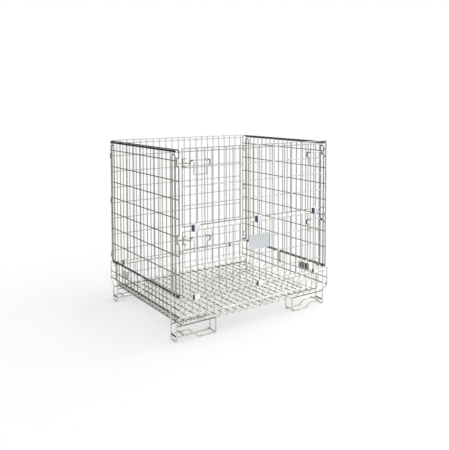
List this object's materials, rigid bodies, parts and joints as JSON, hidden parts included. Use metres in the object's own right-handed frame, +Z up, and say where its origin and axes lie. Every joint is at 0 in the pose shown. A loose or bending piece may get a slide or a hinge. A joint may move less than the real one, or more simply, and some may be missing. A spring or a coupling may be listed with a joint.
{
  "type": "wire mesh container",
  "caption": "Folding wire mesh container on four wire feet: side and end walls hinged to a mesh base, half-height drop gate in front, sliding wire latches, fork entry all round",
  "frame": {"origin": "on the floor, under the middle of the bounding box", "axes": "+Z up, -Y out of the gate side, +X to the right of somebody facing the gate"},
  "size_m": [1.235, 1.0332, 1.186],
  "materials": {
    "mesh_wire": "bright zinc plating",
    "rods": "zinc plating",
    "hinge_sheet": "zinc plating",
    "plates": "satin zinc plating"
  },
  "bodies": {
    "base": {"deck_mesh": "mesh_wire", "left_upstand": "mesh_wire", "right_upstand": "mesh_wire", "front_upstand": "mesh_wire", "back_upstand": "mesh_wire", "left_hinge_rod": "rods", "right_hinge_rod": "rods", "front_hinge_rail": "rods", "back_hinge_rail": "rods", "front_left_foot": "rods", "back_left_foot": "rods", "front_right_foot": "rods", "back_right_foot": "rods", "left_id_plate": "plates", "right_id_plate": "plates", "left_centre_strap": "hinge_sheet", "right_centre_strap": "hinge_sheet"},
    "left_wall": {"left_wall_mesh": "mesh_wire", "left_top_rail": "rods", "left_front_post": "rods", "left_back_post": "rods", "left_upper_keeper": "mesh_wire", "left_lower_keeper": "mesh_wire", "left_upper_catch": "rods", "left_middle_catch": "rods", "left_lower_catch": "rods"},
    "right_wall": {"right_wall_mesh": "mesh_wire", "right_top_rail": "rods", "right_front_post": "rods", "right_back_post": "rods", "right_upper_keeper": "mesh_wire", "right_lower_keeper": "mesh_wire", "right_upper_catch": "rods", "right_middle_catch": "rods", "right_lower_catch": "rods"},
    "back_wall": {"back_wall_mesh": "mesh_wire", "back_hinge_clip_left": "hinge_sheet", "back_hinge_clip_middle": "hinge_sheet", "back_hinge_clip_right": "hinge_sheet"},
    "front_lower": {"front_lower_mesh": "mesh_wire", "front_hinge_clip_left": "hinge_sheet", "front_hinge_clip_middle": "hinge_sheet", "front_hinge_clip_right": "hinge_sheet", "gate_hinge_clip_left": "hinge_sheet", "gate_hinge_clip_middle": "hinge_sheet", "gate_hinge_clip_right": "hinge_sheet", "label_plate": "plates", "left_lower_guide": "rods", "right_lower_guide": "rods"},
    "gate": {"gate_mesh": "mesh_wire", "left_upper_guide": "rods", "right_upper_guide": "rods"},
    "left_upper_latch_body": {"left_upper_latch": "rods"},
    "right_upper_latch_body": {"right_upper_latch": "rods"},
    "left_lower_latch_body": {"left_lower_latch": "rods"},
    "right_lower_latch_body": {"right_lower_latch": "rods"}
  },
  "joints": [
    {"name": "left_fold", "type": "hinge", "parent": "base", "child": "left_wall", "pos_m": [-0.6, 0.0069, 0.285], "axis": [0, 1, 0], "range_deg": [0, 90]},
    {"name": "right_fold", "type": "hinge", "parent": "base", "child": "right_wall", "pos_m": [0.6, 0.0069, 0.285], "axis": [0, -1, 0], "range_deg": [0, 86.5]},
    {"name": "back_fold", "type": "hinge", "parent": "base", "child": "back_wall", "pos_m": [0, 0.5099, 0.242], "axis": [1, 0, 0], "range_deg": [0, 90]},
    {"name": "front_fold", "type": "hinge", "parent": "base", "child": "front_lower", "pos_m": [0, -0.4961, 0.261], "axis": [-1, 0, 0], "range_deg": [0, 90]},
    {"name": "gate_drop", "type": "hinge", "parent": "front_lower", "child": "gate", "pos_m": [0, -0.4961, 0.714], "axis": [-1, 0, 0], "range_deg": [-155, 0]},
    {"name": "left_upper_bolt", "type": "slide", "parent": "gate", "child": "left_upper_latch_body", "axis": [1, 0, 0], "range_m": [-0.0185, 0.005]},
    {"name": "right_upper_bolt", "type": "slide", "parent": "gate", "child": "right_upper_latch_body", "axis": [-1, 0, 0], "range_m": [-0.0185, 0.005]},
    {"name": "left_lower_bolt", "type": "slide", "parent": "front_lower", "child": "left_lower_latch_body", "axis": [1, 0, 0], "range_m": [-0.0185, 0.005]},
    {"name": "right_lower_bolt", "type": "slide", "parent": "front_lower", "child": "right_lower_latch_body", "axis": [-1, 0, 0], "range_m": [-0.0185, 0.005]}
  ]
}
